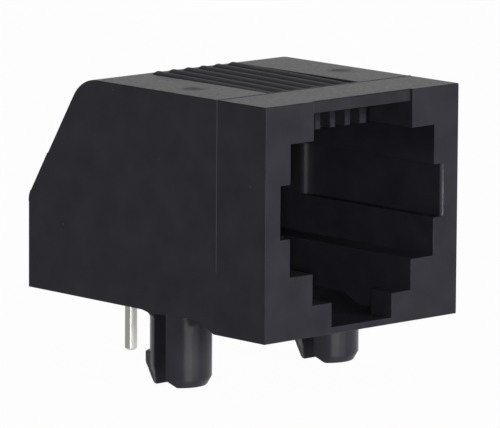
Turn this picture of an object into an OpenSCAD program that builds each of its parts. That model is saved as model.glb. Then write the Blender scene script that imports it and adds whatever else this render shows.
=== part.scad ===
// Right-angle modular jack for a circuit board: a one-piece black moulding with a plug
// cavity open to the front, a latch pocket below it, two split pegs that snap into the
// board, and four flat spring contacts that end in two staggered rows of solder tails.
// The front faces -Y, the board's surface is z = 0 and the origin lies midway between the pegs.

/* [Body] */
// Width across the side walls
body_w = 13.2; // [12.6:0.1:16]
// Height of the flat top above the board
body_h = 11.7; // [11.4:0.05:12.6]
// Depth from the front face to the upright rear face
body_d = 17.6; // [17:0.1:20]
// Depth of the flat top, from the front face to its corner with the rear slope
top_d = 13.6; // [13:0.1:15]
// Height of the upright rear face above the board
rear_h = 5.3; // [4:0.1:7]
// Radius between the top and the rear slope
top_round = 2; // [0.5:0.1:3]
// Radius between the rear slope and the upright rear face
rear_round = 1.2; // [0.4:0.1:2]
// Height of the small ledge across the rear slope
ledge_h = 7.6; // [7.2:0.1:9]
// Reach of that ledge
ledge_reach = 0.08; // [0.04:0.01:0.2]
// Depth of the front foot that stands on the board
foot_d = 3.7; // [2:0.1:4.4]
// Length of the ramp behind the front foot
ramp_d = 1.15; // [0.5:0.05:1.5]
// Gap between the board and the underside behind the ramp
board_gap = 0.53; // [0.3:0.01:0.8]
// Diameter of the two rear stand-offs
standoff_d = 1.2; // [0.8:0.1:1.6]
// Distance between the two rear stand-offs
standoff_pitch = 7.8; // [6:0.1:9]
// Distance of the stand-offs from the rear face
standoff_inset = 1.2; // [1:0.1:2]

/* [Plug cavity] */
// Width of the plug cavity
plug_w = 9.81; // [9:0.01:10.4]
// Height of the plug cavity
plug_h = 6.59; // [6.2:0.01:7.4]
// Depth of the plug cavity
plug_d = 11.6; // [10.8:0.1:12]
// Reach of each side ear beyond the cavity wall
ear_reach = 0.56; // [0.4:0.01:0.9]
// Height of each side ear
ear_h = 2.67; // [2:0.01:3.2]
// Height of the ears' lower edge above the cavity floor
ear_lift = 1.92; // [1.5:0.01:2.6]
// Depth of the side ears
ear_d = 9.65; // [7:0.05:10.6]
// Radius at each ear's inner rear corner
ear_round = 0.5; // [0.2:0.02:0.6]
// Lead-in chamfer on each ear's outer front edge
ear_chamfer = 0.14; // [0.1:0.01:0.4]

/* [Latch pocket] */
// Width of the upper step that the latch's shoulders pass through
shoulder_w = 6.72; // [6:0.02:6.9]
// Depth of the upper step below the cavity floor
shoulder_drop = 1.57; // [1.2:0.01:1.9]
// Width of the lower slot for the latch's tab
tab_w = 4.1; // [4.06:0.02:5]
// Thickness of the web under the tab slot
tab_floor = 0.335; // [0.25:0.005:0.45]
// Thickness of the front wall that the latch catches behind
catch_t = 1.5; // [1:0.1:2.5]
// Depth of the latch pocket from the front face
pocket_d = 9.2; // [6:0.1:10]

/* [Contact comb] */
// Pitch of the contacts
pitch = 1.02; // [0.95:0.01:1.08]
// Width of the notch in the front wall, above the cavity
notch_w = 6.72; // [6.4:0.02:8]
// Height of the notch above the cavity
notch_h = 1.34; // [1.3:0.01:1.8]
// Thickness of the lip above the notch
lip_t = 0.62; // [0.45:0.01:0.8]
// Distance of the lip behind the front face
lip_setback = 0.15; // [0.1:0.05:0.6]
// Distance of the comb bars behind the front face
comb_setback = 2.2; // [1.6:0.1:2.8]
// Depth of the comb bars
comb_d = 4.2; // [3.8:0.1:5]
// Height of the bars' lower ends above the cavity's ceiling
comb_lift = 0.11; // [0.05:0.01:0.2]
// Radius of the comb's two outer front corners
comb_shoulder = 0.64; // [0.3:0.02:0.7]

/* [Top] */
// Distance of the top ridges' front ends behind the front face
ridge_front = 3.65; // [3.6:0.05:5]
// Distance of the ridges' rear ends behind the front face
ridge_back = 12.2; // [10:0.05:12.4]
// Height of a ridge's crest above its valleys
ridge_h = 0.34; // [0.2:0.01:0.45]
// Depth of the crests below the flat top, at their front ends
ridge_dip = 0.03; // [0.01:0.01:0.1]
// Height of the crests above the flat top, at their rear ends
ridge_rise = 0.12; // [0.05:0.01:0.2]
// Diameter of the two dished ejector marks
mark_d = 1.6; // [1:0.1:2]
// Depth of the ejector marks' dishes
mark_depth = 0.08; // [0.02:0.01:0.1]
// Distance between the ejector marks
mark_pitch = 10.06; // [9:0.02:10.6]
// Distance of the ejector marks behind the front face
mark_y = 6.98; // [5:0.02:10]
// Distance of the mould's parting line behind the front face
seam_y = 3.46; // [2.6:0.02:3.6]
// Width of the parting line
seam_w = 0.06; // [0.04:0.01:0.1]
// Height that the parting line stands proud
seam_rise = 0.015; // [0.01:0.005:0.08]

/* [Contacts] */
// Width of a contact's flat strip
wire_w = 0.5; // [0.36:0.02:0.6]
// Thickness of a contact's flat strip
wire_t = 0.4; // [0.25:0.01:0.45]
// Clearance between a strip's edges and its slot, on each side
side_fit = 0.07; // [0.04:0.01:0.12]
// Clearance between a strip's faces and its slot, on each side
face_fit = 0.05; // [0.03:0.01:0.1]
// Length of the solder tails below the board's surface
tail_len = 3.05; // [2.5:0.05:4]
// Chamfer at the tip of each tail
tail_chamfer = 0.1; // [0.04:0.01:0.12]
// Distance of the front row of tails behind the pegs
row_front = 5.3; // [4.9:0.02:5.6]
// Distance of the rear row of tails behind the pegs
row_rear = 7.62; // [7:0.02:8.2]
// Depth of the rear row's strips behind the rear slope, measured level
slope_inset = 1.05; // [0.8:0.05:1.3]
// Inside radius of the bends at the back
bend_r = 0.4; // [0.3:0.05:0.6]
// Radius of the front bend, at the middle of the strip
nose_r = 0.45; // [0.4:0.01:0.55]
// Distance of the front bend behind the comb's front
nose_inset = 1.6; // [0.7:0.05:2.2]
// Distance of a spring's free end from the back of the cavity
tip_gap = 0.9; // [0.6:0.1:2]
// Height of a spring's free end above the cavity floor
tip_lift = 4.7; // [4.5:0.05:5.2]

/* [Board pegs] */
// Distance of the pegs behind the front face
peg_y = 7.8; // [7.5:0.05:8.4]
// Distance between the pegs
peg_pitch = 10.16; // [9.9:0.02:10.6]
// Diameter of a peg
peg_d = 3.24; // [2.8:0.02:3.3]
// Length of a peg below the board's surface
peg_len = 3.23; // [2.8:0.01:4]
// Radial size of the chamfer at a peg's tip
peg_chamfer = 0.25; // [0.1:0.05:0.4]
// Height of the chamfer at a peg's tip
peg_chamfer_h = 0.45; // [0.2:0.05:0.6]
// Width of the slot that splits a peg
split_w = 0.84; // [0.6:0.02:1.1]
// Distance of that slot's middle in front of the peg's middle
split_shift = 0.16; // [0:0.02:0.3]
// Size of the chamfer on the front half's tip, along the slot
split_chamfer = 0.32; // [0.1:0.02:0.5]
// Height of the solid neck between the slot and the underside
neck_h = 0.06; // [0.02:0.02:0.3]
// Relief of the sprung rear leaf below the peg's own radius
leaf_relief = 0.12; // [0:0.01:0.15]
// Length by which the leaf ends above the front half's tip
leaf_short = 0.09; // [0:0.01:0.3]
// Reach of the barb beyond the leaf
barb_reach = 0.22; // [0.1:0.01:0.3]
// Thickness of the board that the barb snaps under
board_t = 1.6; // [1:0.1:1.8]
// Width of the barb across the leaf
barb_w = 2.4; // [1.6:0.1:3]
// Height of the barb's upright land
barb_land = 0.5; // [0.2:0.05:0.6]
// Taper of the leaf's tip, from the barb inwards
leaf_taper = 0.41; // [0.3:0.01:0.6]
// Radius of the fillet at the leaf's root
root_fillet = 0.42; // [0.2:0.02:0.5]

/* [Hidden] */
$fn = 64;

contacts = 4;
ridges = 6;
arc_steps = 12;
bend_steps = 8;
over = 1;

notch_z = body_h - lip_t;
ceiling_z = notch_z - notch_h;
floor_h = ceiling_z - plug_h;

// Run of the rear slope for each unit of rise, and its angle from upright
slope = (body_d - top_d - ledge_reach) / (body_h - rear_h);
slope_a = atan(slope);
top_tangent = top_round * tan((90 - slope_a) / 2);
rear_tangent = rear_round * tan(slope_a / 2);
top_centre = [top_d - top_tangent, body_h - top_round];
rear_centre = [body_d - rear_round, rear_h - rear_tangent];

slot_w = wire_w + 2 * side_fit;
slot_t = wire_t + 2 * face_fit;
bar_w = pitch - slot_w;
comb_w = contacts * pitch + bar_w + 2 * comb_shoulder;
comb_back = comb_setback + comb_d;
run_z = notch_z - slot_t / 2;
nose_y = comb_setback + nose_inset;
tip = [plug_d - tip_gap, floor_h + tip_lift];

// The ridges' band is sunk a little below the valleys, and each ridge runs a little way into its ends
band_w = ridges * pitch;
band_spare = 0.02;
ridge_root = 0.1;
ridge_r = cap_radius(pitch, ridge_h);
ridge_tilt = atan((ridge_dip + ridge_rise) / (ridge_back - ridge_front));
mark_r = cap_radius(mark_d, mark_depth);

peg_r = peg_d / 2;
leaf_r = peg_r - leaf_relief;
barb_r = leaf_r + barb_reach;
split_front = -split_shift - split_w / 2;
split_rear = -split_shift + split_w / 2;
leaf_z = leaf_short - peg_len;
land_z = -board_t - barb_land;

function unit(v) = v / norm(v);

// Radius of a round cap, from its width and height
function cap_radius(w, h) = (w * w / 4 + h * h) / (2 * h);

// Points of an arc about a centre, from one angle to another
function arc(centre, r, from, to, steps) =
    [for (i = [0 : steps]) let (a = from + (to - from) * i / steps) centre + r * [cos(a), sin(a)]];

// Points that round the corner at b of the line a-b-c
function bend(a, b, c, r) =
    let (
        u = unit(a - b),
        w = unit(c - b),
        half = acos(u * w) / 2,
        centre = b + unit(u + w) * r / sin(half),
        start = b + u * r / tan(half) - centre,
        end = b + w * r / tan(half) - centre,
        from = atan2(start.y, start.x),
        turn = atan2(end.y, end.x) - from,
        sweep = turn > 180 ? turn - 360 : turn < -180 ? turn + 360 : turn
    )
    arc(centre, r, from, from + sweep, bend_steps);

// Points of a line that turns by arcs, where radii holds one radius for each inner corner
function rounded(line, radii) = concat(
    [line[0]],
    [for (i = [1 : len(line) - 2]) each bend(line[i - 1], line[i], line[i + 1], radii[i - 1])],
    [line[len(line) - 1]]
);

function normal(a, b) = let (d = unit(b - a)) [-d.y, d.x];

// The point of a line moved sideways, mitred between its two neighbours
function mitred(line, i, side) =
    let (
        last = len(line) - 1,
        n_in = normal(line[max(i - 1, 0)], line[max(i, 1)]),
        n_out = normal(line[min(i, last - 1)], line[min(i + 1, last)]),
        m = unit(n_in + n_out)
    )
    line[i] + m * side / (m * n_in);

function edge(line, side) = [for (i = [0 : len(line) - 1]) mitred(line, i, side)];
function reversed(list) = [for (i = [len(list) - 1 : -1 : 0]) list[i]];

// Rear slope's depth at a height, above the ledge
function slope_y(z) = top_d + slope * (body_h - z);

// Odd contacts end in the rear row of tails, even ones in the front row
function in_rear_row(n) = n % 2 == 1;
function contact_x(n) = (n - (contacts + 1) / 2) * pitch;
function tail_y(n) = peg_y + (in_rear_row(n) ? row_rear : row_front);

// Middle line of the fixed part of a contact: tail, rise at the back, run under the top wall
function back_line(n) =
    let (y = tail_y(n))
    in_rear_row(n)
    ? [[y, -tail_len],
       [y, body_h - (y + slope_inset - top_d) / slope],
       [slope_y(run_z) - slope_inset, run_z]]
    : [[y, -tail_len], [y, run_z]];

// Middle line of the sprung part: round the nose behind the comb, then down into the cavity
spring_line = [[nose_y, run_z], [nose_y, run_z - 2 * nose_r], tip];

function contact_line(n) =
    let (back = back_line(n), turn_r = bend_r + wire_t / 2)
    rounded(concat(back, spring_line),
            concat([for (i = [1 : len(back) - 1]) turn_r], [nose_r, nose_r]));

// Places a side view, drawn as [depth, height], upright and w wide about the middle plane
module across(w) {
    translate([-w / 2, 0, 0])
        rotate([90, 0, 90])
            linear_extrude(w)
                children();
}

// A box given by its width about the middle plane and its ranges of depth and height
module block(w, y0, y1, z0, z1) {
    translate([-w / 2, y0, z0])
        cube([w, y1 - y0, z1 - z0]);
}

module pair(spacing) {
    for (side = [-1, 1])
        translate([side * spacing / 2, 0, 0])
            children();
}

module side_outline() {
    ledge_y = slope_y(ledge_h);
    polygon(concat(
        [[0, 0], [0, body_h]],
        arc(top_centre, top_round, 90, slope_a, arc_steps),
        [[ledge_y, ledge_h], [ledge_y + ledge_reach, ledge_h]],
        arc(rear_centre, rear_round, slope_a, 0, arc_steps),
        [[body_d, board_gap], [foot_d + ramp_d, board_gap], [foot_d, 0]]
    ));
}

// Shallow band in the top that the ridges stand in
module ridge_band() {
    block(band_w, ridge_front, ridge_back, body_h - ridge_dip - ridge_h - band_spare, body_h + over);
}

// One ridge: a round rib that climbs out of its band towards the rear
module ridge() {
    translate([0, ridge_front, body_h - ridge_dip - ridge_r])
        rotate([ridge_tilt - 90, 0, 0])
            cylinder(r = ridge_r, h = ridge_back + ridge_root - ridge_front);
}

module top_ridges() {
    for (i = [0 : ridges - 1])
        translate([(i - (ridges - 1) / 2) * pitch, 0, 0])
            ridge();
}

// The part of a peg's round body that lies within a side view, drawn as [depth, height]
module peg_part(side_view) {
    intersection() {
        children();
        across(2 * peg_d)
            polygon(side_view);
    }
}

module peg_front() {
    chamfer_z = -peg_len + peg_chamfer_h;
    peg_part([
        [-peg_d, -peg_len], [split_front - split_chamfer, -peg_len], [split_front, chamfer_z],
        [split_front, board_gap], [-peg_d, board_gap]
    ]) {
        union() {
            translate([0, 0, -peg_len])
                cylinder(r1 = peg_r - peg_chamfer, r2 = peg_r, h = peg_chamfer_h);
            translate([0, 0, chamfer_z])
                cylinder(r = peg_r, h = board_gap - chamfer_z);
        }
    }
}

// Tapered tip of the leaf, up to a given radius
module leaf_taper_cone(r) {
    translate([0, 0, leaf_z])
        cylinder(r1 = barb_r - leaf_taper, r2 = r, h = land_z - leaf_z);
}

module peg_leaf() {
    peg_part([[split_rear, leaf_z], [peg_d, leaf_z], [peg_d, board_gap], [split_rear, board_gap]]) {
        union() {
            intersection() {
                union() {
                    leaf_taper_cone(barb_r);
                    translate([0, 0, land_z])
                        cylinder(r = barb_r, h = barb_land);
                }
                cube([barb_w, 2 * peg_d, 4 * peg_len], center = true);
            }
            leaf_taper_cone(leaf_r);
            translate([0, 0, land_z])
                cylinder(r = leaf_r, h = board_gap - land_z);
            intersection() {
                translate([0, 0, board_gap - root_fillet])
                    rotate_extrude()
                        difference() {
                            square([leaf_r + root_fillet, root_fillet]);
                            translate([leaf_r + root_fillet, 0])
                                circle(r = root_fillet);
                        }
                cube([body_w - peg_pitch, 2 * peg_d, 2 * peg_d], center = true);
            }
        }
    }
}

// A peg's two halves, and the neck that joins them to the underside
module peg() {
    peg_front();
    peg_leaf();
    translate([0, 0, board_gap - neck_h])
        cylinder(r = leaf_r, h = neck_h + over);
}

module plug_cavity() {
    block(plug_w, -over, plug_d, floor_h, ceiling_z);
    translate([0, 0, floor_h + ear_lift])
        linear_extrude(ear_h)
            ear_plan();
}

// Plan of the two ears: a lead-in chamfer in front and a round corner at the rear
module ear_plan() {
    ears_w = plug_w + 2 * ear_reach;
    flat_w = ears_w - 2 * ear_round;
    polygon([
        [-ears_w / 2 - ear_chamfer - over, -over], [ears_w / 2 + ear_chamfer + over, -over],
        [ears_w / 2, ear_chamfer], [ears_w / 2, ear_d - ear_round],
        [-ears_w / 2, ear_d - ear_round], [-ears_w / 2, ear_chamfer]
    ]);
    translate([-flat_w / 2, 0])
        square([flat_w, ear_d]);
    for (side = [-1, 1])
        translate([side * flat_w / 2, ear_d - ear_round])
            circle(r = ear_round);
}

// Stepped slot for the plug's latch, wider behind the wall that the latch catches on,
// with a floor web that follows the underside's ramp
module latch_pocket() {
    ramp_end = foot_d + ramp_d;
    raised_floor = board_gap + tab_floor;
    block(shoulder_w, -over, pocket_d, floor_h - shoulder_drop, floor_h + over);
    block(tab_w, -over, catch_t + over, tab_floor, floor_h);
    across(shoulder_w)
        polygon([
            [catch_t, tab_floor], [foot_d, tab_floor], [ramp_end, raised_floor],
            [pocket_d, raised_floor], [pocket_d, floor_h], [catch_t, floor_h]
        ]);
}

// Notch above the cavity, and the spaces beside the comb's rounded front corners
module comb_notch() {
    block(notch_w, -over, comb_setback, ceiling_z - over, notch_z);
    block(notch_w, -over, lip_setback, notch_z - over, body_h + over);
    block(notch_w, comb_setback - over, comb_back, ceiling_z - over, ceiling_z + comb_lift);
    translate([0, 0, ceiling_z])
        linear_extrude(notch_h)
            difference() {
                translate([-notch_w / 2, comb_setback - over])
                    square([notch_w, comb_d + over]);
                comb_plan();
            }
}

module comb_plan() {
    flat_w = comb_w - 2 * comb_shoulder;
    translate([-flat_w / 2, comb_setback])
        square([flat_w, comb_d + over]);
    translate([-comb_w / 2, comb_setback + comb_shoulder])
        square([comb_w, comb_d + over]);
    for (side = [-1, 1])
        translate([side * flat_w / 2, comb_setback + comb_shoulder])
            circle(r = comb_shoulder);
}

// Slot for one contact: open below between the comb bars, a tunnel under the top wall,
// and open to the rear behind the rising strip
module contact_slot(n) {
    line = contact_line(n);
    back = back_line(n);
    rear_y = body_d + over;
    translate([contact_x(n), 0, 0]) {
        block(slot_w, comb_setback - over, comb_back, ceiling_z - over, notch_z);
        across(slot_w) {
            polygon(concat(edge(line, slot_t / 2), reversed(edge(line, -slot_t / 2))));
            polygon(concat(back, [
                [back[len(back) - 1].x, notch_z], [rear_y, notch_z], [rear_y, -tail_len]
            ]));
        }
    }
}

// Fine line left where the mould's halves meet, over the top and down both sides
module parting_line() {
    block(body_w + 2 * seam_rise, seam_y, seam_y + seam_w, floor_h, body_h + seam_rise);
}

module housing() {
    color("#2c2c2f")
        translate([0, -peg_y, 0])
            difference() {
                union() {
                    difference() {
                        across(body_w) side_outline();
                        ridge_band();
                    }
                    top_ridges();
                    parting_line();
                    translate([0, peg_y, 0])
                        pair(peg_pitch) peg();
                    translate([0, body_d - standoff_inset, 0])
                        pair(standoff_pitch) cylinder(d = standoff_d, h = board_gap + over);
                }
                plug_cavity();
                latch_pocket();
                comb_notch();
                for (n = [1 : contacts])
                    contact_slot(n);
                translate([0, mark_y, body_h - mark_depth + mark_r])
                    pair(mark_pitch) sphere(r = mark_r);
            }
}

// Front view of a straight strip with a chamfered lower end
module strip_plan() {
    half = wire_w / 2;
    polygon([
        [-half, body_h], [-half, -tail_len + tail_chamfer], [-half + tail_chamfer, -tail_len],
        [half - tail_chamfer, -tail_len], [half, -tail_len + tail_chamfer], [half, body_h]
    ]);
}

module contact(n) {
    line = contact_line(n);
    color("#c9cac6")
        translate([contact_x(n), -peg_y, 0])
            intersection() {
                across(wire_w)
                    polygon(concat(edge(line, wire_t / 2), reversed(edge(line, -wire_t / 2))));
                translate([0, body_d, 0])
                    rotate([90, 0, 0])
                        linear_extrude(body_d)
                            strip_plan();
            }
}

housing();
contact(1);  // contact_1
contact(2);  // contact_2
contact(3);  // contact_3
contact(4);  // contact_4
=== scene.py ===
import math

import bmesh
import bpy
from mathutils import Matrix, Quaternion, Vector


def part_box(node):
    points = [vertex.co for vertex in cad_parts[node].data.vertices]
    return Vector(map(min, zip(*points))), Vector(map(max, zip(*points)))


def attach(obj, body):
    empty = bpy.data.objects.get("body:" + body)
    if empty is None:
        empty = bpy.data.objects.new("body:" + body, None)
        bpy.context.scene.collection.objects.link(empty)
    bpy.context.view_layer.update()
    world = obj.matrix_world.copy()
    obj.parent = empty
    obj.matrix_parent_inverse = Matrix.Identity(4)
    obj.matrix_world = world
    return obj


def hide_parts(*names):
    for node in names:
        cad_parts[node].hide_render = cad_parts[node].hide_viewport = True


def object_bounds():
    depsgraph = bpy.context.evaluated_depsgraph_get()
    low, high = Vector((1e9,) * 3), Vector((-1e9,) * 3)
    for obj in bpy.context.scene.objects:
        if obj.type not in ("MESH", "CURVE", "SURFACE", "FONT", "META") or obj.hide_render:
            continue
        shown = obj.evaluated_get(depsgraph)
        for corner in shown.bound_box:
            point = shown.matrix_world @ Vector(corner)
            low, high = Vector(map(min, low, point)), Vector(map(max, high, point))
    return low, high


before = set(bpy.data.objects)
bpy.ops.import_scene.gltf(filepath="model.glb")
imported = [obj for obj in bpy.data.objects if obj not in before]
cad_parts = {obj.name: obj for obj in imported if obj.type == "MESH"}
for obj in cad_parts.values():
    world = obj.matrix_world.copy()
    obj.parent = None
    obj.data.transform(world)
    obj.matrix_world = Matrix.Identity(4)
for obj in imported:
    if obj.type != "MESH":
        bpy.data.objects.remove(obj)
cad_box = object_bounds()


# Housing: the black moulding that the plug goes into, in one piece with its ridges, comb and split pegs.
# It is injection moulded in PBT, between mould halves that meet in the fine line round its top and sides.
# Its edges are as sharp as the mould left them, with a radius of a few hundredths of a millimetre.
MM = 0.001
EDGE_RADIUS = 0.05 * MM
EDGE_SEGMENTS = 2
ROUND_PROFILE = 0.5
ROUNDING_ROOM = 2 * EDGE_RADIUS
LARGEST_FACET_STEP = math.radians(35)
MERGE_DISTANCE = 0.002 * MM
COPLANAR = math.radians(1)
SMOOTH_BELOW = math.radians(40)


def merge_points(shell):
    """Merges points that coincide and removes the faces that this collapses"""
    bmesh.ops.remove_doubles(shell, verts=shell.verts, dist=MERGE_DISTANCE)
    bmesh.ops.dissolve_degenerate(shell, edges=shell.edges, dist=MERGE_DISTANCE)


def edge_room(edge):
    """Mean depth of the shallower face beside an edge: what a rounding has to fit into"""
    return min(face.calc_area() for face in edge.link_faces) / edge.calc_length()


def takes_radius(edge):
    """True for an outside corner with room for its rounding, and not for the steps of a faceted arc"""
    return (
        edge.is_manifold
        and edge.is_convex
        and edge.calc_face_angle() > LARGEST_FACET_STEP
        and edge.calc_length() > ROUNDING_ROOM
        and edge_room(edge) > ROUNDING_ROOM
    )


shell = bmesh.new()
shell.from_mesh(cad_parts["housing"].data)
merge_points(shell)
bmesh.ops.dissolve_limit(shell, angle_limit=COPLANAR, verts=shell.verts, edges=shell.edges)
bmesh.ops.recalc_face_normals(shell, faces=shell.faces)
bmesh.ops.bevel(
    shell,
    geom=[edge for edge in shell.edges if takes_radius(edge)],
    offset=EDGE_RADIUS,
    offset_type="OFFSET",
    segments=EDGE_SEGMENTS,
    profile=ROUND_PROFILE,
    affect="EDGES",
    clamp_overlap=False,
    loop_slide=True,
    miter_outer="SHARP",
    miter_inner="SHARP",
)
merge_points(shell)
housing_mesh = bpy.data.meshes.new("moulded_housing")
shell.to_mesh(housing_mesh)
shell.free()
housing_mesh.shade_smooth()
housing_mesh.set_sharp_from_angle(angle=SMOOTH_BELOW)


def linear(hex_colour):
    """Turns an sRGB hex colour into linear red, green, blue and alpha"""
    channels = [int(hex_colour[i:i + 2], 16) / 255 for i in (1, 3, 5)]
    return [c / 12.92 if c <= 0.04045 else ((c + 0.055) / 1.055) ** 2.4 for c in channels] + [1.0]


def set_inputs(tree, node, inputs):
    """Sets inputs of a node, each to a value, an output socket or another node's first live output"""
    for key, value in inputs.items():
        socket = next(s for s in node.inputs if s.enabled and key in (s.identifier, s.name))
        if isinstance(value, bpy.types.Node):
            value = next(s for s in value.outputs if s.enabled)
        if isinstance(value, bpy.types.NodeSocket):
            tree.links.new(value, socket)
        else:
            socket.default_value = value


def add_node(tree, kind, inputs=None, **settings):
    """Adds a node of a kind with its settings and inputs"""
    node = tree.nodes.new(kind)
    for name, value in settings.items():
        setattr(node, name, value)
    set_inputs(tree, node, inputs or {})
    return node


# PBT moulded against a spark-eroded mould: an even, slightly blue black with a soft sheen at low angles,
# no mirror image, faint cloudy flow in the colour, and a few pale specks of dust held by the texture.
PBT_DARK = "#1d1c22"
PBT_LIGHT = "#33323a"
PBT_IOR = 1.5
PBT_SPECULAR = 0.07
PBT_SMOOTHEST = 0.32
PBT_ROUGHEST = 0.42
FLOW_SIZE = 1.6 * MM
FLOW_DETAIL = 4.0
# The real texture's pits are about 0.03 mm wide; they are drawn four times as wide so that they show
PIT_SIZE = 0.12 * MM
PIT_DEPTH = 0.003 * MM
PIT_DETAIL = 2.0
# Nearly all of a noise texture's values lie between these two
NOISE_LOW = 0.3
NOISE_HIGH = 0.7
DUST = "#5c5c60"
DUST_SPACING = 1.6 * MM
DUST_RADIUS = 0.04 * MM
DUST_CORE = 0.6
DUST_COVER = 0.8
# Paler colour of the parting line's flash: a painted highlight
PAINTED_FLASH_HIGHLIGHT = "#4c4b53"
FLASH_FROM = 6.607 * MM
RIDGE_ROUGHNESS = 0.56
BAND_HALF = 3.06 * MM
BAND_FRONT = -4.15 * MM
BAND_REAR = 4.51 * MM

pbt = bpy.data.materials.new("PBT moulded with spark-eroded texture")
pbt.use_nodes = True
tree = pbt.node_tree
coords = add_node(tree, "ShaderNodeTexCoord").outputs["Object"]
flow = add_node(
    tree, "ShaderNodeTexNoise", {"Vector": coords, "Scale": 1 / FLOW_SIZE, "Detail": FLOW_DETAIL}
)
body_colour = add_node(
    tree, "ShaderNodeMix",
    {"Factor": flow.outputs["Fac"], "A": linear(PBT_DARK), "B": linear(PBT_LIGHT)},
    data_type="RGBA",
)
dust_cell = add_node(tree, "ShaderNodeTexVoronoi", {"Vector": coords, "Scale": 1 / DUST_SPACING})
dust = add_node(
    tree, "ShaderNodeMapRange",
    {
        "Value": dust_cell.outputs["Distance"],
        "From Min": DUST_CORE * DUST_RADIUS / DUST_SPACING,
        "From Max": DUST_RADIUS / DUST_SPACING,
        "To Min": DUST_COVER,
        "To Max": 0.0,
    },
)
dusty = add_node(
    tree, "ShaderNodeMix", {"Factor": dust, "A": body_colour, "B": linear(DUST)}, data_type="RGBA"
)
# The flash along the parting line, the only part that stands out past the sides, is painted paler: a
# painted highlight for the light that its thin edge catches
place = add_node(tree, "ShaderNodeSeparateXYZ", {"Vector": coords})
from_middle = add_node(tree, "ShaderNodeMath", {"Value": place.outputs["X"]}, operation="ABSOLUTE")
flash_highlight_mask = add_node(
    tree, "ShaderNodeMath", {"Value": from_middle, "Value_001": FLASH_FROM}, operation="GREATER_THAN"
)
colour = add_node(
    tree, "ShaderNodeMix", {"Factor": flash_highlight_mask, "A": dusty, "B": linear(PAINTED_FLASH_HIGHLIGHT)}, data_type="RGBA"
)
pits = add_node(
    tree, "ShaderNodeTexNoise", {"Vector": coords, "Scale": 1 / PIT_SIZE, "Detail": PIT_DETAIL}
)
relief = add_node(tree, "ShaderNodeBump", {"Height": pits.outputs["Fac"], "Distance": PIT_DEPTH})
textured_gloss = add_node(
    tree, "ShaderNodeMapRange",
    {
        "Value": pits.outputs["Fac"],
        "From Min": NOISE_LOW,
        "From Max": NOISE_HIGH,
        "To Min": PBT_SMOOTHEST,
        "To Max": PBT_ROUGHEST,
    },
)
# The ridges' part of the mould is milled with a round cutter, which leaves them more matt than the flats
on_ridges = add_node(
    tree, "ShaderNodeMath", {"Value": from_middle, "Value_001": BAND_HALF}, operation="LESS_THAN"
)
for band_end, side in ((BAND_FRONT, "GREATER_THAN"), (BAND_REAR, "LESS_THAN")):
    within = add_node(
        tree, "ShaderNodeMath", {"Value": place.outputs["Y"], "Value_001": band_end}, operation=side
    )
    on_ridges = add_node(
        tree, "ShaderNodeMath", {"Value": on_ridges, "Value_001": within}, operation="MULTIPLY"
    )
gloss = add_node(
    tree, "ShaderNodeMix",
    {"Factor": on_ridges, "A": textured_gloss, "B": RIDGE_ROUGHNESS},
    data_type="FLOAT",
)
set_inputs(tree, tree.nodes["Principled BSDF"], {
    "Base Color": colour,
    "Roughness": gloss,
    "Normal": relief,
    "Specular IOR Level": PBT_SPECULAR,
    "IOR": PBT_IOR,
})
housing_mesh.materials.append(pbt)


def other_finish(name, specular):
    """Adds the same PBT with a gloss of its own to the housing's finishes, and returns its place there"""
    finish = pbt.copy()
    finish.name = name
    tree = finish.node_tree
    set_inputs(tree, tree.nodes["Principled BSDF"], {"Specular IOR Level": specular})
    housing_mesh.materials.append(finish)
    return len(housing_mesh.materials) - 1


# On the pegs and stand-offs, moulded in reamed bores: they shine more than the texture does, and the fine
# rings that the reamer leaves round them draw a lamp out into an upright streak.
BELOW_UNDERSIDE = 0.525 * MM
BEHIND_FOOT_RAMP = -2.0 * MM
PEG_SPECULAR = 0.17
PEG_STREAK = 0.95

reamed = other_finish("PBT moulded in reamed bores", PEG_SPECULAR)
tree = housing_mesh.materials[reamed].node_tree
peg_axis = add_node(tree, "ShaderNodeCombineXYZ", {"Z": 1.0})
set_inputs(tree, tree.nodes["Principled BSDF"], {"Anisotropic": PEG_STREAK, "Tangent": peg_axis})

# On the lead-in chamfers of the cavity's ears, which plugs rub smooth: they gleam as a thin upright line.
EAR_WALL = 5.45 * MM
EAR_MOUTH = 5.62 * MM
LEAD_IN_REAR = -7.62 * MM
RUBBED_SPECULAR = 0.25

rubbed = other_finish("PBT rubbed smooth", RUBBED_SPECULAR)

for face in housing_mesh.polygons:
    if face.center.z < BELOW_UNDERSIDE and face.center.y > BEHIND_FOOT_RAMP:
        face.material_index = reamed
    elif EAR_WALL < abs(face.center.x) < EAR_MOUTH and face.center.y < LEAD_IN_REAR:
        face.material_index = rubbed

housing = bpy.data.objects.new("moulded_housing", housing_mesh)
bpy.context.scene.collection.objects.link(housing)
flatten = housing.modifiers.new("Flat faces stay flat", "WEIGHTED_NORMAL")
flatten.keep_sharp = True
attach(housing, "root")
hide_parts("housing")


# Contacts: four flat springs that touch the plug's blades, each with a solder tail below the board.
# Each is stamped from phosphor bronze strip, formed round its bends and pressed into the housing's slots.
# The tails are tin plated for soldering, and the springs gold plated where the plug's blades rub.
CONTACT_COUNT = 4
STRIP_THICKNESS = 0.4 * MM
STRIP_EDGE_RADIUS = 0.015 * MM
STRIP_EDGE_STEPS = 2
BACK_BEND_RADIUS = 0.6 * MM
NOSE_RADIUS = 0.45 * MM
BEND_STEPS = 10
SLOPE_HEAD_Y = 5.283 * MM
SLOPE_RUN_PER_RISE = 0.6125
SPRING_TIP = Vector((2.9, 7.85)) * MM
TIP_CHAMFER = 0.1 * MM
TIP_SHARE = 0.55

# Bright tin on the rolled faces, a rougher surface on the sheared edges whose darker grey is partly their
# duller finish and partly painted shade for the dimmer reflection they get, and gold on the spring
TIN_ROLLED = "#c9c9c5"
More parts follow.
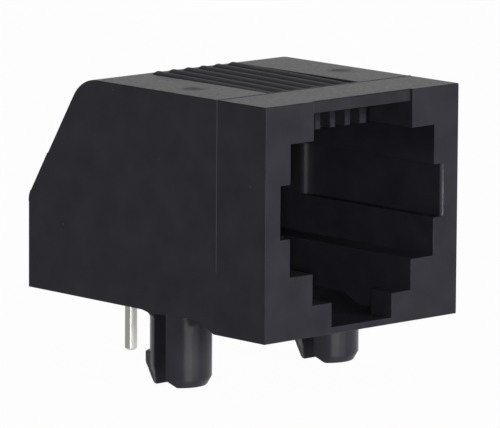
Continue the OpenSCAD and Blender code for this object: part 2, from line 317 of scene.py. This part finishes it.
# Darker grey of the sheared edges: partly their duller finish, partly painted shade
TIN_SHEARED_AND_SHADED = "#9d9b97"
GOLD = "#e3bd67"
ROLLED_SMOOTHEST = 0.28
ROLLED_ROUGHEST = 0.42
SHEARED_ROUGHNESS = 0.55
ROLLING_LINE = 0.04 * MM
ROLLING_STRETCH = 0.06
ROLLING_DETAIL = 2.0
# How far a surface faces sideways where the rolled face ends and where the sheared edge is reached
ROLLED_UNTIL = 0.5
SHEARED_FROM = 0.9
GOLD_FROM = 18.0 * MM
GOLD_FADE = 0.4 * MM

plating = bpy.data.materials.new("Phosphor bronze strip, tin and gold plated")
plating.use_nodes = True
tree = plating.node_tree
coords = add_node(tree, "ShaderNodeTexCoord")
facing = add_node(tree, "ShaderNodeSeparateXYZ", {"Vector": coords.outputs["Normal"]})
sideways = add_node(tree, "ShaderNodeMath", {"Value": facing.outputs["X"]}, operation="ABSOLUTE")
sheared = add_node(
    tree, "ShaderNodeMapRange",
    {"Value": sideways, "From Min": ROLLED_UNTIL, "From Max": SHEARED_FROM},
    interpolation_type="SMOOTHSTEP",
)
# The sheared edges get the darker grey, which is partly painted shade
tin = add_node(
    tree, "ShaderNodeMix",
    {"Factor": sheared, "A": linear(TIN_ROLLED), "B": linear(TIN_SHEARED_AND_SHADED)},
    data_type="RGBA",
)
along = add_node(tree, "ShaderNodeAttribute", attribute_name="along_strip")
gilt = add_node(
    tree, "ShaderNodeMapRange",
    {"Value": along.outputs["Fac"], "From Min": GOLD_FROM, "From Max": GOLD_FROM + GOLD_FADE},
)
metal = add_node(tree, "ShaderNodeMix", {"Factor": gilt, "A": tin, "B": linear(GOLD)}, data_type="RGBA")
# Rolling lines run along the strip, so the noise is stretched up the tail
rolling_coords = add_node(
    tree, "ShaderNodeMapping",
    {
        "Vector": coords.outputs["Object"],
        "Scale": [1 / ROLLING_LINE, 1 / ROLLING_LINE, ROLLING_STRETCH / ROLLING_LINE],
    },
)
rolling = add_node(
    tree, "ShaderNodeTexNoise", {"Vector": rolling_coords, "Scale": 1.0, "Detail": ROLLING_DETAIL}
)
polish = add_node(
    tree, "ShaderNodeMapRange",
    {
        "Value": rolling.outputs["Fac"],
        "From Min": NOISE_LOW,
        "From Max": NOISE_HIGH,
        "To Min": ROLLED_SMOOTHEST,
        "To Max": ROLLED_ROUGHEST,
    },
)
roughness = add_node(
    tree, "ShaderNodeMix", {"Factor": sheared, "A": polish, "B": SHEARED_ROUGHNESS}, data_type="FLOAT"
)
set_inputs(tree, tree.nodes["Principled BSDF"], {
    "Base Color": metal,
    "Roughness": roughness,
    "Metallic": 1.0,
})

# The strip: a route through its corners is rounded at each bend and swept with a blunt-edged rectangle
strip = bpy.data.node_groups.new("Formed contact strip", "GeometryNodeTree")
for name, kind in (
    ("Route", "NodeSocketGeometry"),
    ("Width", "NodeSocketFloat"),
    ("Thickness", "NodeSocketFloat"),
    ("Edge radius", "NodeSocketFloat"),
    ("Edge steps", "NodeSocketInt"),
    ("Bend steps", "NodeSocketInt"),
    ("Plating", "NodeSocketMaterial"),
):
    strip.interface.new_socket(name, in_out="INPUT", socket_type=kind)
strip.interface.new_socket("Contact", in_out="OUTPUT", socket_type="NodeSocketGeometry")
given = add_node(strip, "NodeGroupInput").outputs
corners = add_node(strip, "GeometryNodeMeshToCurve", {"Mesh": given["Route"]})
bend_radius = add_node(
    strip, "GeometryNodeInputNamedAttribute", {"Name": "bend_radius"}, data_type="FLOAT"
)
bent = add_node(
    strip, "GeometryNodeFilletCurve",
    {"Curve": corners, "Count": given["Bend steps"], "Radius": bend_radius, "Limit Radius": False},
    mode="POLY",
)
distance = add_node(strip, "GeometryNodeSplineParameter")
marked = add_node(
    strip, "GeometryNodeStoreNamedAttribute",
    {"Geometry": bent, "Name": "along_strip", "Value": distance.outputs["Length"]},
    data_type="FLOAT", domain="POINT",
)
section = add_node(
    strip, "GeometryNodeCurvePrimitiveQuadrilateral",
    {"Width": given["Width"], "Height": given["Thickness"]},
    mode="RECTANGLE",
)
blunt_section = add_node(
    strip, "GeometryNodeFilletCurve",
    {
        "Curve": section,
        "Count": given["Edge steps"],
        "Radius": given["Edge radius"],
        "Limit Radius": True,
    },
    mode="POLY",
)
taper = add_node(strip, "GeometryNodeInputNamedAttribute", {"Name": "taper"}, data_type="FLOAT")
swept = add_node(
    strip, "GeometryNodeCurveToMesh",
    {"Curve": marked, "Profile Curve": blunt_section, "Scale": taper, "Fill Caps": True},
)
real = add_node(strip, "GeometryNodeRealizeInstances", {"Geometry": swept})
plated = add_node(strip, "GeometryNodeSetMaterial", {"Geometry": real, "Material": given["Plating"]})
add_node(strip, "NodeGroupOutput", {"Contact": plated})


def contact_route(low, high):
    """Corners of a contact's middle line from tail to spring tip, each as y, z, bend radius and taper"""
    tail_y = high.y - STRIP_THICKNESS / 2
    run_z = high.z - STRIP_THICKNESS / 2
    nose_y = low.y + STRIP_THICKNESS / 2
    route = [(tail_y, low.z, 0, TIP_SHARE), (tail_y, low.z + TIP_CHAMFER, 0, 1)]
    if tail_y > SLOPE_HEAD_Y:
        slope_foot_z = run_z - (tail_y - SLOPE_HEAD_Y) / SLOPE_RUN_PER_RISE
        route += [(tail_y, slope_foot_z, BACK_BEND_RADIUS, 1), (SLOPE_HEAD_Y, run_z, BACK_BEND_RADIUS, 1)]
    else:
        route += [(tail_y, run_z, BACK_BEND_RADIUS, 1)]
    route += [(nose_y, run_z, NOSE_RADIUS, 1), (nose_y, run_z - 2 * NOSE_RADIUS, NOSE_RADIUS, 1)]
    return route + [(*SPRING_TIP, 0, 1)]


for number in range(1, CONTACT_COUNT + 1):
    node = f"contact_{number}"
    low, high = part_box(node)
    middle_x = (low.x + high.x) / 2
    ys, zs, bend_radii, tapers = zip(*contact_route(low, high))
    route_mesh = bpy.data.meshes.new("contact_route")
    route_mesh.from_pydata(
        [(middle_x, y, z) for y, z in zip(ys, zs)],
        [(i, i + 1) for i in range(len(ys) - 1)],
        [],
    )
    for name, values in (("bend_radius", bend_radii), ("taper", tapers)):
        route_mesh.attributes.new(name, "FLOAT", "POINT").data.foreach_set("value", values)
    contact = bpy.data.objects.new(f"spring_contact_{number}", route_mesh)
    bpy.context.scene.collection.objects.link(contact)
    forming = contact.modifiers.new("Forming", "NODES")
    forming.node_group = strip
    sizes = {
        "Width": high.x - low.x,
        "Thickness": STRIP_THICKNESS,
        "Edge radius": STRIP_EDGE_RADIUS,
        "Edge steps": STRIP_EDGE_STEPS,
        "Bend steps": BEND_STEPS,
        "Plating": plating,
    }
    for socket in strip.interface.items_tree:
        if socket.name in sizes:
            forming[socket.identifier] = sizes[socket.name]
    evaluated = contact.evaluated_get(bpy.context.evaluated_depsgraph_get())
    formed = bpy.data.meshes.new_from_object(evaluated)
    contact.modifiers.remove(forming)
    contact.data = formed
    formed.shade_smooth()
    formed.set_sharp_from_angle(angle=SMOOTH_BELOW)
    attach(contact, "root")
    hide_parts(node)


# Floor: a plain white table that the jack stands on by its pegs, wide enough to fill the picture.
# Its own white shows in the picture and in reflections, and a small share of real light keeps the shadow.
FLOOR_HALF = 2.0
FLOOR_WHITE = "#f2f2f2"
FLOOR_ROUGHNESS = 0.9
PURE_WHITE = "#ffffff"
OWN_WHITE = 0.97


def seen_or_mirrored(tree):
    """Adds nodes that give 1 to rays from the eye, also by a mirror or through glass, and 0 to others"""
    path = add_node(tree, "ShaderNodeLightPath").outputs
    mirrored = add_node(
        tree, "ShaderNodeMath",
        {"Value": path["Is Glossy Ray"], "Value_001": path["Is Transmission Ray"]},
        operation="MAXIMUM",
    )
    return add_node(
        tree, "ShaderNodeMath", {"Value": path["Is Camera Ray"], "Value_001": mirrored}, operation="MAXIMUM"
    )


table = bpy.data.materials.new("White table, matt laminate")
table.use_nodes = True
tree = table.node_tree
lit = tree.nodes["Principled BSDF"]
set_inputs(tree, lit, {
    "Base Color": linear(FLOOR_WHITE),
    "Roughness": FLOOR_ROUGHNESS,
    "Specular IOR Level": 0.0,
})
white = add_node(tree, "ShaderNodeEmission", {"Color": linear(PURE_WHITE), "Strength": 1.0})
share = add_node(
    tree, "ShaderNodeMath", {"Value": seen_or_mirrored(tree), "Value_001": OWN_WHITE}, operation="MULTIPLY"
)
mixed = add_node(tree, "ShaderNodeMixShader", {"Fac": share, "Shader": lit, "Shader_001": white})
set_inputs(tree, tree.nodes["Material Output"], {"Surface": mixed})

floor_z = min(corner[2] for corner in cad_box)
floor_mesh = bpy.data.meshes.new("table_top")
floor_mesh.from_pydata(
    [(x * FLOOR_HALF, y * FLOOR_HALF, floor_z) for x, y in ((-1, -1), (1, -1), (1, 1), (-1, 1))],
    [],
    [(0, 1, 2, 3)],
)
floor_mesh.materials.append(table)
floor = bpy.data.objects.new("table_top", floor_mesh)
bpy.context.scene.collection.objects.link(floor)


# Light: soft boxes in front of the jack and behind it, a small fill beside the camera that reaches into the
# cavity, and two low strips that the pegs mirror. They stand in a white room, whose walls are white up to
# the height that the table fades into, and whose ceiling is darker.
ROOM_LIGHT = 0.24
WALL_TOP = math.radians(21)
CEILING_FROM = math.radians(33)
CEILING_WHITE = 0.25
LAMP_DISTANCE = 0.4
BOX_HEIGHT = math.radians(8)
BOX_SIZE = (0.24, 0.08)
FRONT_BOX_AZIMUTH = math.radians(20)
FRONT_BOX_POWER = 1.27
REAR_BOX_AZIMUTH = math.radians(165)
REAR_BOX_POWER = 0.9
FILL_AZIMUTH = math.radians(-43)
FILL_HEIGHT = math.radians(9.4)
FILL_SIZE = (0.03, 0.03)
FILL_POWER = 0.55
STREAK_HEIGHT = math.radians(0.5)
STREAK_SIZE = (0.2, 0.012)
LEFT_STREAK_AZIMUTH = math.radians(-13)
LEFT_STREAK_POWER = 1.25
RIGHT_STREAK_AZIMUTH = math.radians(11)
RIGHT_STREAK_POWER = 0.45

room = bpy.data.worlds.new("White room")
room.use_nodes = True
bpy.context.scene.world = room
tree = room.node_tree
view_ray = add_node(tree, "ShaderNodeTexCoord").outputs["Generated"]
rise = add_node(tree, "ShaderNodeSeparateXYZ", {"Vector": view_ray})
walls = add_node(
    tree, "ShaderNodeMapRange",
    {
        "Value": rise.outputs["Z"],
        "From Min": math.sin(WALL_TOP),
        "From Max": math.sin(CEILING_FROM),
        "To Min": 1.0,
        "To Max": CEILING_WHITE,
    },
)
level = add_node(
    tree, "ShaderNodeMix",
    {"Factor": seen_or_mirrored(tree), "A": ROOM_LIGHT, "B": walls},
    data_type="FLOAT",
)
set_inputs(tree, tree.nodes["Background"], {"Color": linear(PURE_WHITE), "Strength": level})


def direction(azimuth, height):
    """Unit vector from the jack towards an azimuth, counted from its front to its right, and a height"""
    return Vector((
        math.sin(azimuth) * math.cos(height), -math.cos(azimuth) * math.cos(height), math.sin(height)
    ))


def add_lamp(name, size, azimuth, height, power, only_mirrored=False):
    """Hangs a rectangular lamp facing the jack, which either lights it or is only mirrored in its gloss"""
    panel = bpy.data.lights.new(name, "AREA")
    panel.shape = "RECTANGLE"
    panel.size, panel.size_y = size
    panel.energy = power
    towards = direction(azimuth, height)
    lamp = bpy.data.objects.new(name, panel)
    lamp.location = towards * LAMP_DISTANCE
    lamp.rotation_euler = towards.to_track_quat("Z", "Y").to_euler()
    lamp.visible_glossy = only_mirrored
    lamp.visible_diffuse = not only_mirrored
    bpy.context.scene.collection.objects.link(lamp)


# The soft boxes and the fill have no mirror image, so that they leave no glare
add_lamp("front_box", BOX_SIZE, FRONT_BOX_AZIMUTH, BOX_HEIGHT, FRONT_BOX_POWER)
add_lamp("rear_box", BOX_SIZE, REAR_BOX_AZIMUTH, BOX_HEIGHT, REAR_BOX_POWER)
add_lamp("camera_fill", FILL_SIZE, FILL_AZIMUTH, FILL_HEIGHT, FILL_POWER)
add_lamp(
    "left_streak", STREAK_SIZE, LEFT_STREAK_AZIMUTH, STREAK_HEIGHT, LEFT_STREAK_POWER,
    only_mirrored=True,
)
add_lamp(
    "right_streak", STREAK_SIZE, RIGHT_STREAK_AZIMUTH, STREAK_HEIGHT, RIGHT_STREAK_POWER,
    only_mirrored=True,
)


# Camera: a long lens that stands to the front left of the jack and a little above it, as in the picture.
# Its place, roll and focal length are fitted to the straight edges that the picture shows.
CAMERA_AIM = Vector((-3.4456, -3.3227, 5.5900)) * MM
CAMERA_DISTANCE = 294.1 * MM
CAMERA_AZIMUTH = math.radians(-42.983)
CAMERA_HEIGHT = math.radians(9.4255)
CAMERA_ROLL = math.radians(0.3722)
LENS = 427.53
SENSOR_WIDTH = 36
NEAREST_SEEN = 10 * MM

camera_data = bpy.data.cameras.new("long_lens")
camera_data.lens = LENS
camera_data.sensor_width = SENSOR_WIDTH
camera_data.sensor_fit = "HORIZONTAL"
camera_data.clip_start = NEAREST_SEEN
camera = bpy.data.objects.new("long_lens", camera_data)
back = direction(CAMERA_AZIMUTH, CAMERA_HEIGHT)
camera.location = CAMERA_AIM + back * CAMERA_DISTANCE
camera.rotation_euler = (
    back.to_track_quat("Z", "Y") @ Quaternion((0, 0, 1), CAMERA_ROLL)
).to_euler()
bpy.context.scene.collection.objects.link(camera)
bpy.context.scene.camera = camera
bpy.context.scene.view_settings.view_transform = "Standard"
